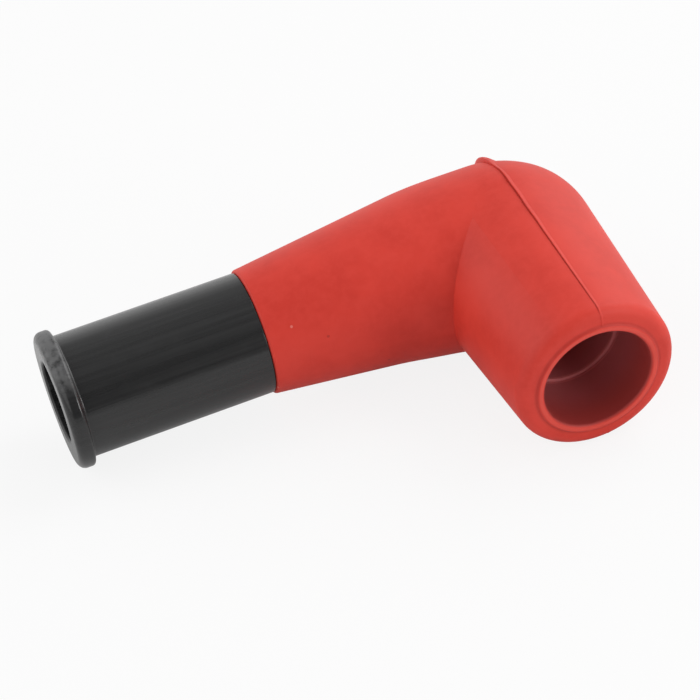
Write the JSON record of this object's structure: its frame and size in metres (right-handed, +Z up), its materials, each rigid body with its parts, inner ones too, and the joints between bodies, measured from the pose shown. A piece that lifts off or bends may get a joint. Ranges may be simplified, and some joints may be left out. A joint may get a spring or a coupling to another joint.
{
  "type": "spark plug cap",
  "caption": "Right-angled silicone spark plug cap with a flanged lead sleeve, a suppressor resistor and a push-on plug terminal.",
  "frame": {"origin": "middle of the underside of the cap's box as it lies on a surface", "axes": "+Z up from the surface, +X from the lead sleeve along the arm to the elbow, -Y out of the plug mouth"},
  "size_m": [0.0644, 0.0358, 0.0222],
  "materials": {
    "silicone": "satin red silicone with a fine moulded skin",
    "black_plastic": "semi-gloss black with fine lengthwise draw marks",
    "brass": "bright turned brass",
    "spring_steel": "drawn spring wire",
    "plated": "tin-plated steel",
    "ceramic": "unglazed ceramic"
  },
  "bodies": {
    "root": {"elbow_boot": "silicone", "lead_sleeve": "black_plastic", "lead_screw": "brass", "contact_spring": "spring_steel", "resistor_cap_lead": "plated", "resistor_rod": "ceramic", "resistor_cap_plug": "plated", "plug_terminal": "brass", "terminal_ring": "spring_steel"}
  },
  "joints": []
}
